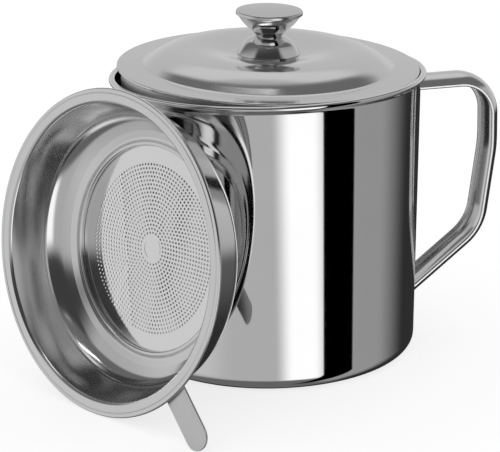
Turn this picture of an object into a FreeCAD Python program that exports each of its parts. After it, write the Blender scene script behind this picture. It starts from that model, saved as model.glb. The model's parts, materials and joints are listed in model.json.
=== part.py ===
import FreeCAD, Part
import math
import os

import Sketcher

# Kitchen grease keeper: a pot with a strap handle, a loose lid with an hourglass knob, and a
# strainer that stands on its rim and its tab and leans on the pot.
# The frame has its origin in the middle of the pot's base, +Z up and +X towards the handle.

# Driving dimensions: alias, value (millimetres or degrees), meaning.
DRIVING_DIMENSIONS = [
    ("pot_height", 123.5, "floor to the top of the pot's rim"),
    ("pot_top_radius", 65.6, "outer radius of the wall just under the rim"),
    ("pot_base_radius", 62.4, "outer radius of the wall where its line meets the floor"),
    ("pot_wall", 0.8, "sheet thickness of the pot"),
    ("base_corner_radius", 4.5, "rounding between wall and base"),
    ("rim_overhang", 2.4, "how far the curled rim stands out from the wall"),
    ("rim_curl", 2.4, "width and height of the curl"),
    ("flare_height", 3.2, "height over which the wall opens towards the curl"),
    ("handle_width", 18.0, "width of the strap over its rolled edges"),
    ("handle_sheet", 0.9, "sheet thickness of the strap"),
    ("handle_crown", 3.6, "how far the strap's back bulges"),
    ("handle_lip", 1.2, "height of the rolled edges"),
    ("handle_roll", 1.4, "thickness of the rolled edges"),
    ("handle_top", 111.5, "height of the strap's upper run, at its rolled edges"),
    ("handle_reach", 99.6, "pot axis to the grip's rolled edges"),
    ("grip_straight", 9.8, "upright run of the grip below the top bend"),
    ("grip_lean", 8.4, "how far the grip then leans in, degrees"),
    ("grip_foot_height", 46.3, "height of the lower bend"),
    ("handle_brace_angle", 37.5, "fall of the lower run towards the wall, degrees"),
    ("handle_top_bend", 14.0, "bend radius at the top corner"),
    ("handle_grip_bend", 60.0, "bend radius where the grip leans in"),
    ("handle_foot_bend", 20.0, "bend radius at the lower corner"),
    ("lid_inset", 3.2, "pot rim radius less lid radius"),
    ("lid_sheet", 0.8, "sheet thickness of the lid"),
    ("lid_hem", 1.4, "thickness of the hemmed edge"),
    ("lid_flange", 11.2, "width of the lid's flat border"),
    ("lid_shoulder_run", 7.2, "width of the step up from the border to the dome"),
    ("lid_shoulder_height", 5.7, "border to the outer edge of the dome"),
    ("lid_shoulder_round", 22.0, "rounding between that step and the dome"),
    ("lid_border_round", 1.2, "rounding between the border and that step"),
    ("lid_crest_radius", 32.0, "where the dome is highest"),
    ("lid_crest_height", 8.2, "border to the crest's corner"),
    ("lid_crest_round", 46.0, "rounding of the crest"),
    ("lid_dome_height", 5.0, "border to the sunk pad under the knob"),
    ("lid_hole_radius", 2.2, "hole for the knob's screw"),
    ("lid_tilt", 3.1, "how far the lid lies askew, degrees"),
    ("lid_low_azimuth", 304.0, "direction of the lid's low side, degrees from +X"),
    ("lid_shift", 0.5, "how far the lid has slid towards its low side"),
    ("lid_sink", 1.8, "how far its low edge has dropped into the rim"),
    ("lid_ring_play", 1.8, "mouth radius less locating ring radius"),
    ("lid_ring_depth", 8.0, "border's underside to the ring's lower edge"),
    ("lid_ring_foot", 5.0, "width of the ring's foot, welded under the border"),
    ("knob_bell_radius", 13.6, "foot of the knob"),
    ("knob_neck_radius", 5.7, "waist of the knob"),
    ("knob_neck_height", 7.8, "lid pad to the waist"),
    ("knob_cap_radius", 14.3, "disc on top of the knob"),
    ("knob_height", 18.6, "lid pad to the edge of the top disc"),
    ("knob_cap_skirt", 1.7, "height of the top disc's rim"),
    ("knob_cap_rise", 0.6, "bulge of the top disc"),
    ("knob_sheet", 0.7, "sheet thickness of the knob's shells"),
    ("insert_radius", 3.6, "outside of the threaded insert"),
    ("insert_length", 14.5, "length of the threaded insert"),
    ("insert_bore_depth", 11.5, "depth of its blind thread"),
    ("screw_radius", 2.0, "shank of the knob's screw"),
    ("screw_reach", 9.0, "length of thread inside the insert"),
    ("screw_head_radius", 3.8, "pan head"),
    ("screw_head_height", 2.2, "pan head"),
    ("screw_slot_width", 1.0, "driver slot"),
    ("screw_slot_depth", 1.1, "driver slot"),
    ("washer_radius", 5.4, "washer under the screw's head"),
    ("washer_thickness", 0.8, "washer under the screw's head"),
    ("running_clearance", 0.05, "radial clearance of threads and nested shells"),
    ("strainer_inset", 1.4, "pot rim radius less strainer rim radius"),
    ("strainer_flange", 5.6, "width of the strainer's flat border"),
    ("strainer_sheet", 0.8, "sheet thickness of the strainer's dish"),
    ("strainer_curl", 1.5, "width and height of its curled edge"),
    ("bowl_taper", 4.5, "how much the dish narrows down to its shoulder"),
    ("bowl_shoulder_depth", 19.9, "border to the dish's shoulder"),
    ("bowl_shoulder_radius", 4.9, "rounding of the shoulder"),
    ("ring_radius", 42.6, "opening in the dish's floor"),
    ("ring_depth", 24.9, "border to the edge of that opening"),
    ("disc_recess", 1.2, "edge of the opening to the face of the filter disc"),
    ("disc_thickness", 0.5, "filter disc"),
    ("disc_clearance", 0.2, "gap round the filter disc"),
    ("ledge_width", 2.0, "ledge that carries the filter disc"),
    ("hole_radius", 0.6, "one hole of the filter disc"),
    ("hole_pitch", 3.0, "from one ring of holes to the next"),
    ("hole_rings", 11, "number of rings of holes"),
    ("tab_width", 12.0, "strainer's tab"),
    ("tab_thickness", 0.9, "strainer's tab"),
    ("tab_reach", 24.0, "strainer's rim to the end of the tab"),
    ("strainer_azimuth", 210.0, "direction that the strainer faces, degrees from +X"),
    ("strainer_lean", 9.0, "how far it leans back, degrees"),
    ("strainer_side", 4.0, "sideways offset from the line through the pot's axis"),
    ("lean_gap", 0.3, "clearance where the strainer rests on the pot"),
]


class Size:
    """A dimension that carries its number and the spreadsheet expression it comes from."""

    def __init__(self, value, text):
        self.value = value
        self.text = text

    def _combined(self, other, symbol, value):
        return Size(value, "({} {} {})".format(self.text, symbol, as_size(other).text))

    def __add__(self, other):
        return self._combined(other, "+", self.value + as_size(other).value)

    def __sub__(self, other):
        return self._combined(other, "-", self.value - as_size(other).value)

    def __mul__(self, other):
        return self._combined(other, "*", self.value * as_size(other).value)

    def __truediv__(self, other):
        return self._combined(other, "/", self.value / as_size(other).value)

    def __neg__(self):
        return Size(-self.value, "(-{})".format(self.text))


def as_size(number):
    return number if isinstance(number, Size) else Size(float(number), repr(float(number)))


def cosine(angle):
    return Size(math.cos(math.radians(angle.value)), "cos({})".format(angle.text))


def sine(angle):
    return Size(math.sin(math.radians(angle.value)), "sin({})".format(angle.text))


def tangent(angle):
    return Size(math.tan(math.radians(angle.value)), "tan({})".format(angle.text))


ZERO = as_size(0)
SHARP = None

# Proportions that hold at any size.
ROLLED = 0.45           # rounding of a rolled edge, as a share of the height it rolls over
CROWN_ARC = 0.88        # share of the strap's crown that is one arc
CHEEK_RISE = 0.7        # height where the knob's bell turns in, as a share of its neck's height
CHEEK_REACH = 0.56      # its reach there, as a share of the way from the neck to the foot
BELLY_RISE = 0.7        # height where the knob's cup turns up, as a share of the cup's height
BELLY_REACH = 0.8       # its reach there, as a share of the way from the neck to the lip
ROUNDED_END = 0.96      # rounding of the tab's end, as a share of half its width
SLOT_OVERRUN = 1.1      # driver slot's half length, as a share of the screw head's radius

doc = FreeCAD.newDocument("grease_keeper")


def make_sheet():
    """Write the driving dimensions into the document's spreadsheet and return them by name."""
    sheet = doc.addObject("Spreadsheet::Sheet", "Sizes")
    sizes = {}
    for row, (alias, value, meaning) in enumerate(DRIVING_DIMENSIONS, start=1):
        sheet.set("A{}".format(row), alias)
        sheet.set("B{}".format(row), str(value))
        sheet.set("C{}".format(row), meaning)
        sheet.setAlias("B{}".format(row), alias)
        sizes[alias] = Size(value, "Sizes.{}".format(alias))
    doc.recompute()
    return sizes


S = make_sheet()

# Sizes that several pieces share.
RIM_RADIUS = S["pot_top_radius"] + S["rim_overhang"]
FLARE_START = S["pot_height"] - S["rim_curl"] - S["flare_height"]
MOUTH_RADIUS = S["pot_top_radius"] - S["pot_wall"]
LID_RADIUS = RIM_RADIUS - S["lid_inset"]
LID_BORDER_TOP = S["lid_hem"] / 2
LID_BORDER_UNDERSIDE = LID_BORDER_TOP - S["lid_sheet"]
LID_BORDER_INNER = LID_RADIUS - S["lid_flange"]
KNOB_SEAT = LID_BORDER_TOP + S["lid_dome_height"]
PAD_UNDERSIDE = KNOB_SEAT - S["lid_sheet"]
INSERT_HOLE = S["insert_radius"] + S["running_clearance"]
STRAINER_RADIUS = RIM_RADIUS - S["strainer_inset"]
BOWL_TOP_RADIUS = STRAINER_RADIUS - S["strainer_flange"]
DISC_FACE_DEPTH = S["ring_depth"] + S["disc_recess"]
LEDGE_DEPTH = DISC_FACE_DEPTH + S["disc_thickness"]


# Sketch and feature helpers ---------------------------------------------------------------

def origin_plane(body, role):
    return next(item for item in body.Origin.OriginFeatures if item.Role == role)


def new_body(name):
    body = doc.addObject("PartDesign::Body", name)
    body.Label = name
    return body


def new_sketch(body, name, role):
    sketch = body.newObject("Sketcher::SketchObject", name)
    sketch.AttachmentSupport = [(origin_plane(body, role), "")]
    sketch.MapMode = "FlatFace"
    return sketch


def bind(sketch, kind, references, size, label):
    """Add one dimension to a sketch and tie it to the spreadsheet."""
    index = sketch.addConstraint(Sketcher.Constraint(kind, *references, size.value))
    sketch.renameConstraint(index, label)
    sketch.setExpression("Constraints.{}".format(label), size.text)


def pin_point(sketch, geometry, position, x, y, label):
    """Fix a point of a sketch at (x, y). Its own axes have the numbers -1, across, and -2, up."""
    root = (-1, 1)
    if x is ZERO:
        sketch.addConstraint(Sketcher.Constraint("PointOnObject", geometry, position, -2))
    else:
        bind(sketch, "DistanceX", root + (geometry, position), x, label + "_x")
    if y is ZERO:
        sketch.addConstraint(Sketcher.Constraint("PointOnObject", geometry, position, -1))
    else:
        bind(sketch, "DistanceY", root + (geometry, position), y, label + "_y")


def corner_tangents(before, corner, after, radius):
    """Where a rounding of that radius touches the two sides of a corner."""
    to_before = (before - corner).normalize()
    to_after = (after - corner).normalize()
    half_angle = to_before.getAngle(to_after) / 2
    length = radius / math.tan(half_angle)
    return corner + to_before * length, corner + to_after * length


def rounding_arc(before, corner, after, radius):
    """The rounding of a corner, and whether it runs against the outline's direction."""
    touch_in, touch_out = corner_tangents(before, corner, after, radius)
    bisector = ((before - corner).normalize() + (after - corner).normalize()).normalize()
    half_angle = (before - corner).getAngle(after - corner) / 2
    centre = corner + bisector * (radius / math.sin(half_angle))
    clockwise = (corner - before).cross(after - corner).z < 0
    first, last = (touch_out, touch_in) if clockwise else (touch_in, touch_out)
    start = math.atan2(first.y - centre.y, first.x - centre.x)
    end = math.atan2(last.y - centre.y, last.x - centre.x)
    circle = Part.Circle(centre, FreeCAD.Vector(0, 0, 1), radius)
    return Part.ArcOfCircle(circle, start, end if end > start else end + 2 * math.pi), clockwise


def draw_outline(sketch, corners, closed=True):
    """Draw a line through corners of (x, y, rounding radius or SHARP), fully dimensioned."""
    places = [FreeCAD.Vector(x.value, y.value, 0) for x, y, _ in corners]
    count = len(corners)
    ends = set() if closed else {0, count - 1}

    def line_ends(index):
        start, end = places[index], places[(index + 1) % count]
        if corners[index][2] is not SHARP:
            start = corner_tangents(places[index - 1], start, end, corners[index][2].value)[1]
        following = (index + 1) % count
        if corners[following][2] is not SHARP:
            beyond = places[(following + 1) % count]
            end = corner_tangents(places[index], end, beyond, corners[following][2].value)[0]
        return start, end

    line_count = count if closed else count - 1
    lines = [sketch.addGeometry(Part.LineSegment(*line_ends(i)), False) for i in range(line_count)]
    for index, (x, y, radius) in enumerate(corners):
        label = "p{}".format(index)
        incoming, outgoing = lines[index - 1], lines[index % line_count]
        if index in ends:
            line, position = (lines[0], 1) if index == 0 else (lines[-1], 2)
            pin_point(sketch, line, position, x, y, label)
        elif radius is SHARP:
            sketch.addConstraint(Sketcher.Constraint("Coincident", incoming, 2, outgoing, 1))
            pin_point(sketch, outgoing, 1, x, y, label)
        else:
            neighbours = places[index - 1], places[index], places[(index + 1) % count]
            arc_shape, clockwise = rounding_arc(*neighbours, radius.value)
            arc = sketch.addGeometry(arc_shape, False)
            apex = sketch.addGeometry(Part.Point(places[index]), True)
            at_incoming, at_outgoing = (2, 1) if clockwise else (1, 2)
            sketch.addConstraint(Sketcher.Constraint("Tangent", incoming, 2, arc, at_incoming))
            sketch.addConstraint(Sketcher.Constraint("Tangent", outgoing, 1, arc, at_outgoing))
            sketch.addConstraint(Sketcher.Constraint("PointOnObject", apex, 1, incoming))
            sketch.addConstraint(Sketcher.Constraint("PointOnObject", apex, 1, outgoing))
            pin_point(sketch, apex, 1, x, y, label)
            bind(sketch, "Radius", (arc,), radius, label + "_r")


def turned_piece(name, corners):
    """A body turned about its Z axis from an outline of (radius, height, rounding) corners."""
    body = new_body(name)
    outline = new_sketch(body, name + "_outline", "XZ_Plane")
    draw_outline(outline, corners)
    turn = body.newObject("PartDesign::Revolution", name + "_turn")
    turn.Profile = outline
    turn.ReferenceAxis = (outline, ["V_Axis"])
    turn.Angle = 360
    doc.recompute()
    return body


# Pot --------------------------------------------------------------------------------------

def make_pot_body():
    curl = S["rim_curl"]
    curl_inner = RIM_RADIUS - curl
    return turned_piece("pot_body", [
        (ZERO, ZERO, SHARP),
        (S["pot_base_radius"], ZERO, S["base_corner_radius"]),
        (S["pot_top_radius"], FLARE_START, S["flare_height"]),
        (curl_inner + S["pot_wall"], S["pot_height"] - curl, curl / 6),
        (RIM_RADIUS, S["pot_height"] - curl, curl * ROLLED),
        (RIM_RADIUS, S["pot_height"], curl * ROLLED),
        (curl_inner, S["pot_height"], curl / 3),
        (MOUTH_RADIUS, FLARE_START, S["flare_height"]),
        (S["pot_base_radius"] - S["pot_wall"], S["pot_wall"], S["base_corner_radius"] - S["pot_wall"]),
        (ZERO, S["pot_wall"], SHARP),
    ])


def make_handle():
    """A crowned strap swept along its path, with both ends trimmed to the pot's wall."""
    strap = new_body("handle_strap")
    buried_end = S["pot_base_radius"] - S["handle_width"] / 2
    lean_bend_length = S["handle_grip_bend"] * tangent(S["grip_lean"] / 2)
    lean_start = S["handle_top"] - S["handle_top_bend"] - S["grip_straight"] - lean_bend_length
    foot_inset = (lean_start - S["grip_foot_height"]) * tangent(S["grip_lean"])
    foot_reach = S["handle_reach"] - foot_inset
    brace_fall = (foot_reach - buried_end) * tangent(S["handle_brace_angle"])
    path = new_sketch(strap, "handle_path", "XZ_Plane")
    draw_outline(path, [
        (buried_end, S["handle_top"], SHARP),
        (S["handle_reach"], S["handle_top"], S["handle_top_bend"]),
        (S["handle_reach"], lean_start, S["handle_grip_bend"]),
        (foot_reach, S["grip_foot_height"], S["handle_foot_bend"]),
        (buried_end, S["grip_foot_height"] - brace_fall, SHARP),
    ], closed=False)

    half_width = S["handle_width"] / 2
    crown = S["handle_crown"]
    crown_radius = (half_width * half_width + crown * crown) / (crown * 2)
    crown_drop = crown_radius - crown
    apex_rise = half_width * half_width / crown_drop
    sheet_rise = S["handle_sheet"] * crown_radius / crown_drop
    lip_base = S["handle_top"] + S["handle_lip"]
    roll_inner = half_width - S["handle_roll"]
    edge_round = S["handle_roll"] * ROLLED
    section = new_sketch(strap, "handle_section", "YZ_Plane")
    section.setExpression("AttachmentOffset.Base.z", buried_end.text)
    draw_outline(section, [
        (half_width, S["handle_top"], edge_round),
        (half_width, lip_base, SHARP),
        (ZERO, lip_base + apex_rise, crown_radius * CROWN_ARC),
        (-half_width, lip_base, SHARP),
        (-half_width, S["handle_top"], edge_round),
        (-roll_inner, S["handle_top"], edge_round),
        (-roll_inner, lip_base, SHARP),
        (ZERO, lip_base + apex_rise - sheet_rise, (crown_radius - S["handle_sheet"]) * CROWN_ARC),
        (roll_inner, lip_base, SHARP),
        (roll_inner, S["handle_top"], edge_round),
    ])
    doc.recompute()
    sweep = strap.newObject("PartDesign::AdditivePipe", "handle_sweep")
    sweep.Profile = section
    sweep.Spine = (path, [])

    envelope = doc.addObject("Part::Cone", "pot_envelope")
    envelope.setExpression("Radius1", S["pot_base_radius"].text)
    envelope.setExpression("Radius2", S["pot_top_radius"].text)
    envelope.setExpression("Height", FLARE_START.text)

    handle = doc.addObject("Part::Cut", "pot_handle")
    handle.Base = strap
    handle.Tool = envelope
    doc.recompute()
    return handle


# Lid and knob, in the lid's own frame: its border's mid-plane is z = 0 ----------------------

def make_lid():
    sheet = S["lid_sheet"]
    hem_inner = LID_RADIUS - S["lid_hem"]
    dome_edge = LID_BORDER_INNER - S["lid_shoulder_run"]
    pad_radius = S["knob_bell_radius"] + sheet * 3
    dome_edge_top = LID_BORDER_TOP + S["lid_shoulder_height"]
    crest_top = LID_BORDER_TOP + S["lid_crest_height"]
    pad_round = LID_RADIUS / 4
    return turned_piece("lid", [
        (S["lid_hole_radius"], PAD_UNDERSIDE, SHARP),
        (pad_radius, PAD_UNDERSIDE, pad_round),
        (S["lid_crest_radius"], crest_top - sheet, S["lid_crest_round"] - sheet),
        (dome_edge - sheet / 2, dome_edge_top - sheet, S["lid_shoulder_round"] - sheet),
        (LID_BORDER_INNER - sheet / 2, LID_BORDER_UNDERSIDE, S["lid_border_round"] + sheet),
        (hem_inner, LID_BORDER_UNDERSIDE, SHARP),
        (hem_inner, -S["lid_hem"] / 2, S["lid_hem"] / 8),
        (LID_RADIUS, -S["lid_hem"] / 2, S["lid_hem"] * ROLLED),
        (LID_RADIUS, LID_BORDER_TOP, S["lid_hem"] * ROLLED),
        (LID_BORDER_INNER, LID_BORDER_TOP, S["lid_border_round"]),
        (dome_edge, dome_edge_top, S["lid_shoulder_round"]),
        (S["lid_crest_radius"], crest_top, S["lid_crest_round"]),
        (pad_radius, KNOB_SEAT, pad_round),
        (S["lid_hole_radius"], KNOB_SEAT, SHARP),
    ])


def make_lid_ring():
    sheet = S["lid_sheet"]
    outer = MOUTH_RADIUS - S["lid_ring_play"]
    inner = outer - sheet
    foot_inner = outer - S["lid_ring_foot"]
    foot_underside = LID_BORDER_UNDERSIDE - sheet
    return turned_piece("lid_ring", [
        (foot_inner, LID_BORDER_UNDERSIDE, SHARP),
        (foot_inner, foot_underside, SHARP),
        (inner, foot_underside, sheet / 2),
        (inner, LID_BORDER_UNDERSIDE - S["lid_ring_depth"], SHARP),
        (outer, LID_BORDER_UNDERSIDE - S["lid_ring_depth"], SHARP),
        (outer, LID_BORDER_UNDERSIDE, sheet * 1.5),
    ])


def make_knob_bell():
    sheet = S["knob_sheet"]
    foot = S["knob_bell_radius"]
    neck = S["knob_neck_radius"]
    neck_top = KNOB_SEAT + S["knob_neck_height"]
    cheek_height = KNOB_SEAT + S["knob_neck_height"] * CHEEK_RISE
    cheek_radius = neck + (foot - neck) * CHEEK_REACH
    cheek_round = S["knob_neck_height"] * CHEEK_RISE
    return turned_piece("knob_bell", [
        (foot, KNOB_SEAT, SHARP),
        (cheek_radius, cheek_height, cheek_round),
        (neck, neck_top, SHARP),
        (INSERT_HOLE, neck_top, SHARP),
        (INSERT_HOLE, neck_top - sheet, SHARP),
        (neck, neck_top - sheet, SHARP),
        (cheek_radius - sheet / 2, cheek_height - sheet, cheek_round - sheet),
        (foot - sheet * 1.25, KNOB_SEAT, SHARP),
    ])


def make_knob_cup():
    sheet = S["knob_sheet"]
    neck = S["knob_neck_radius"]
    bottom = KNOB_SEAT + S["knob_neck_height"]
    lip = S["knob_cap_radius"] - sheet - S["running_clearance"]
    lip_top = KNOB_SEAT + S["knob_height"] - sheet - S["running_clearance"]
    skirt_foot = KNOB_SEAT + S["knob_height"] - S["knob_cap_skirt"]
    belly_radius = neck + (lip - neck) * BELLY_REACH
    belly_height = bottom + (skirt_foot - bottom) * BELLY_RISE
    belly_round = S["knob_cap_radius"]
    return turned_piece("knob_cup", [
        (INSERT_HOLE, bottom, SHARP),
        (neck, bottom, SHARP),
        (belly_radius, belly_height, belly_round),
        (lip, skirt_foot, SHARP),
        (lip, lip_top, SHARP),
        (lip - sheet, lip_top, SHARP),
        (lip - sheet, skirt_foot + sheet / 2, SHARP),
        (belly_radius - sheet, belly_height + sheet / 2, belly_round - sheet),
        (neck - sheet, bottom + sheet, SHARP),
        (INSERT_HOLE, bottom + sheet, SHARP),
    ])


def make_knob_cap():
    sheet = S["knob_sheet"]
    edge = KNOB_SEAT + S["knob_height"]
    skirt_foot = edge - S["knob_cap_skirt"]
    skirt_inner = S["knob_cap_radius"] - sheet
    middle = edge + S["knob_cap_rise"]
    return turned_piece("knob_cap", [
        (ZERO, middle, SHARP),
        (S["knob_cap_radius"] / 2, middle - S["knob_cap_rise"] / 4, S["knob_cap_radius"] * 3),
        (S["knob_cap_radius"], edge, sheet),
        (S["knob_cap_radius"], skirt_foot, sheet / 3),
        (skirt_inner, skirt_foot, sheet / 3),
        (skirt_inner, edge - sheet, SHARP),
        (ZERO, edge - sheet, SHARP),
    ])


def make_knob_insert():
    bore = S["screw_radius"] + S["running_clearance"]
    top = KNOB_SEAT + S["insert_length"]
    bore_end = KNOB_SEAT + S["insert_bore_depth"]
    return turned_piece("knob_insert", [
        (bore, KNOB_SEAT, SHARP),
        (S["insert_radius"], KNOB_SEAT, SHARP),
        (S["insert_radius"], top, S["running_clearance"] * 8),
        (ZERO, top, SHARP),
        (ZERO, bore_end + S["screw_radius"] / 2, SHARP),
        (bore, bore_end, SHARP),
    ])


def make_lid_screw():
    head_seat = PAD_UNDERSIDE - S["washer_thickness"]
    head_foot = head_seat - S["screw_head_height"]
    shank_end = KNOB_SEAT + S["screw_reach"]
    tip_chamfer = S["screw_radius"] / 4
    screw = turned_piece("lid_screw", [
        (ZERO, head_foot, SHARP),
        (S["screw_head_radius"], head_foot, S["screw_head_height"] / 2),
        (S["screw_head_radius"], head_seat, SHARP),
        (S["screw_radius"], head_seat, SHARP),
        (S["screw_radius"], shank_end - tip_chamfer, SHARP),
        (S["screw_radius"] - tip_chamfer, shank_end, SHARP),
        (ZERO, shank_end, SHARP),
    ])
    slot_sketch = new_sketch(screw, "screw_slot_outline", "XY_Plane")
    slot_sketch.setExpression("AttachmentOffset.Base.z", head_foot.text)
    half_width = S["screw_slot_width"] / 2
    half_length = S["screw_head_radius"] * SLOT_OVERRUN
    draw_outline(slot_sketch, [
        (-half_length, -half_width, SHARP),
        (half_length, -half_width, SHARP),
        (half_length, half_width, SHARP),
        (-half_length, half_width, SHARP),
    ])
    slot = screw.newObject("PartDesign::Pocket", "screw_slot")
    slot.Profile = slot_sketch
    slot.Reversed = True
    slot.setExpression("Length", S["screw_slot_depth"].text)
    whole = screw.Shape.Volume
    doc.recompute()
    if not screw.Shape.Volume < whole:
        raise RuntimeError("the screw's slot cut nothing")
    return screw


def make_screw_washer():
    underside = PAD_UNDERSIDE - S["washer_thickness"]
    return turned_piece("screw_washer", [
        (S["lid_hole_radius"], underside, SHARP),
        (S["washer_radius"], underside, S["washer_thickness"] / 4),
        (S["washer_radius"], PAD_UNDERSIDE, SHARP),
        (S["lid_hole_radius"], PAD_UNDERSIDE, SHARP),
    ])


# Strainer, in its own frame: the border's face is z = 0 and the dish hangs below it ---------

def make_strainer_bowl():
    sheet = S["strainer_sheet"]
    curl = S["strainer_curl"]
    curl_round = curl * ROLLED
    shoulder_radius = BOWL_TOP_RADIUS - S["bowl_taper"]
    shoulder_round = S["bowl_shoulder_radius"]
    mouth_round = S["strainer_flange"] / 4
    curl_inner = STRAINER_RADIUS - curl
    ledge_inner = S["ring_radius"] - S["ledge_width"]
    ledge_underside = LEDGE_DEPTH + sheet
    return turned_piece("strainer_bowl", [
        (ledge_inner, -LEDGE_DEPTH, SHARP),
        (S["ring_radius"], -LEDGE_DEPTH, SHARP),
        (S["ring_radius"], -S["ring_depth"], S["disc_recess"] / 2),
        (shoulder_radius, -S["bowl_shoulder_depth"], shoulder_round),
        (BOWL_TOP_RADIUS, ZERO, mouth_round),
        (STRAINER_RADIUS, ZERO, curl_round),
        (STRAINER_RADIUS, -curl, curl_round),
        (curl_inner, -curl, curl_round / 2),
        (curl_inner, -sheet, SHARP),
        (BOWL_TOP_RADIUS + sheet, -sheet, mouth_round - sheet / 2),
        (shoulder_radius + sheet, -(S["bowl_shoulder_depth"] + sheet), shoulder_round + sheet),
        (S["ring_radius"] + sheet, -(S["ring_depth"] + sheet), SHARP),
        (S["ring_radius"] + sheet, -ledge_underside, sheet / 3),
        (ledge_inner, -ledge_underside, SHARP),
    ])


def make_filter_disc():
    """A flat disc with rings of holes, six more in each ring than in the ring inside it."""
    disc_radius = S["ring_radius"].value - S["disc_clearance"].value
    up = FreeCAD.Vector(0, 0, 1)
    underside = FreeCAD.Vector(0, 0, -LEDGE_DEPTH.value)
    outlines = [Part.Wire(Part.makeCircle(disc_radius, underside, up))]
    for ring in range(2, int(S["hole_rings"].value) + 2):
        ring_radius = ring * S["hole_pitch"].value
        hole_count = 6 * ring
        for step in range(hole_count):
            angle = 2 * math.pi * step / hole_count
            offset = FreeCAD.Vector(math.cos(angle), math.sin(angle), 0) * ring_radius
            outlines.append(Part.Wire(Part.makeCircle(S["hole_radius"].value, underside + offset, up)))
    face = Part.Face(outlines, "Part::FaceMakerBullseye")
    disc = doc.addObject("Part::Feature", "filter_disc")
    disc.Shape = face.extrude(up * S["disc_thickness"].value)
    return disc


def make_strainer_tab():
    """A flat tab along the strainer's +X, welded under the curled edge."""
    tab = new_body("strainer_tab")
    outline = new_sketch(tab, "tab_outline", "XY_Plane")
    outline.setExpression("AttachmentOffset.Base.z", (-S["strainer_curl"]).text)
    root = BOWL_TOP_RADIUS + S["strainer_sheet"] * 1.25
    end = STRAINER_RADIUS + S["tab_reach"]
    half_width = S["tab_width"] / 2
    draw_outline(outline, [
        (root, -half_width, SHARP),
        (end, -half_width, half_width * ROUNDED_END),
        (end, half_width, half_width * ROUNDED_END),
        (root, half_width, SHARP),
    ])
    pad = tab.newObject("PartDesign::Pad", "tab_pad")
    pad.Profile = outline
    pad.Reversed = True
    pad.setExpression("Length", S["tab_thickness"].text)
    doc.recompute()
    return tab


# Placing ----------------------------------------------------------------------------------

def lid_placement():
    """The lid lies askew: its low edge has slipped into the rim, shifted towards that side."""
    azimuth = math.radians(S["lid_low_azimuth"].value)
    tilt = S["lid_tilt"]
    low_edge_drop = (LID_RADIUS - S["lid_hem"] / 2) * sine(tilt)
    height = S["pot_height"] - S["lid_sink"] + S["lid_hem"] / 2 + low_edge_drop
    shift = S["lid_shift"].value
    base = FreeCAD.Vector(shift * math.cos(azimuth), shift * math.sin(azimuth), height.value)
    tilt_axis = FreeCAD.Vector(-math.sin(azimuth), math.cos(azimuth), 0)
    return FreeCAD.Placement(base, FreeCAD.Rotation(tilt_axis, tilt.value))


def pot_outline_radius(height):
    """Outer radius of the pot at a height, with the rim taken as a plain band."""
    if height > S["pot_height"].value:
        return 0.0
    if height > FLARE_START.value:
        return RIM_RADIUS.value
    rise = height / FLARE_START.value
    return S["pot_base_radius"].value + rise * (S["pot_top_radius"].value - S["pot_base_radius"].value)


def strainer_placement(bowl_outline):
    """Stand the strainer on its rim and slide it towards the pot until its back touches."""
    lean = S["strainer_lean"]
    curl_round = S["strainer_curl"] * ROLLED
    curl_foot = S["strainer_curl"] - curl_round
    height = (STRAINER_RADIUS - curl_round) * cosine(lean) + curl_foot * sine(lean) + curl_round
    rotation = FreeCAD.Rotation(S["strainer_azimuth"].value, 90 - lean.value, 0)
    azimuth = math.radians(S["strainer_azimuth"].value)
    facing = FreeCAD.Vector(math.cos(azimuth), math.sin(azimuth), 0)
    sideways = FreeCAD.Vector(-math.sin(azimuth), math.cos(azimuth), 0) * S["strainer_side"].value
    upwards = FreeCAD.Vector(0, 0, height.value)

    outline_points = [point for edge in bowl_outline.Shape.Edges for point in edge.discretize(4)]
    skin = []
    for point in outline_points:
        for step in range(0, 360, 3):
            angle = math.radians(step)
            turned = FreeCAD.Vector(point.x * math.cos(angle), point.x * math.sin(angle), point.z)
            skin.append(rotation.multVec(turned) + sideways + upwards)

    def clearance(stand_off):
        offset = facing * stand_off
        return min(math.hypot(p.x + offset.x, p.y + offset.y) - pot_outline_radius(p.z) for p in skin)

    near, far = RIM_RADIUS.value / 2, RIM_RADIUS.value * 3
    while far - near > 0.001:
        middle = (near + far) / 2
        if clearance(middle) < S["lean_gap"].value:
            near = middle
        else:
            far = middle
    return FreeCAD.Placement(facing * far + sideways + upwards, rotation)


def tab_placement(strainer):
    """Turn the tab so that its rounded end reaches the floor beside the rim."""
    lean = math.radians(S["strainer_lean"].value)
    lower_face = S["strainer_curl"].value + S["tab_thickness"].value
    floor_depth = (strainer.Base.z - lower_face * math.sin(lean)) / math.cos(lean)
    half_width = S["tab_width"].value / 2
    end_round = half_width * ROUNDED_END
    corner_reach = STRAINER_RADIUS.value + S["tab_reach"].value - end_round
    corner_side = half_width - end_round
    corner_radius = math.hypot(corner_reach, corner_side)
    to_floor = math.acos((floor_depth - end_round) / corner_radius)
    angle = math.degrees(to_floor + math.atan2(corner_side, corner_reach))
    return strainer.multiply(FreeCAD.Placement(FreeCAD.Vector(), FreeCAD.Rotation(angle, 0, 0)))


def build():
    pot_pieces = [make_pot_body(), make_handle()]
    lid_pieces = [
        make_lid(),
        make_lid_ring(),
        make_knob_bell(),
        make_knob_cup(),
        make_knob_cap(),
        make_knob_insert(),
        make_lid_screw(),
        make_screw_washer(),
    ]
    bowl = make_strainer_bowl()
    disc = make_filter_disc()
    tab = make_strainer_tab()

    for piece in lid_pieces:
        piece.Placement = lid_placement()
    strainer = strainer_placement(doc.getObject("strainer_bowl_outline"))
    bowl.Placement = strainer
    disc.Placement = strainer
    tab.Placement = tab_placement(strainer)
    doc.recompute()
    return pot_pieces + lid_pieces + [bowl, disc, tab]


def check(pieces):
    for item in doc.Objects:
        if "Invalid" in item.State or "Error" in item.State:
            raise RuntimeError("{} failed: {}".format(item.Name, item.State))
    for piece in pieces:
        if piece.Shape.isNull() or not piece.Shape.isValid() or not piece.Shape.Solids:
            raise RuntimeError("{} has no valid solid".format(piece.Label))


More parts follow.
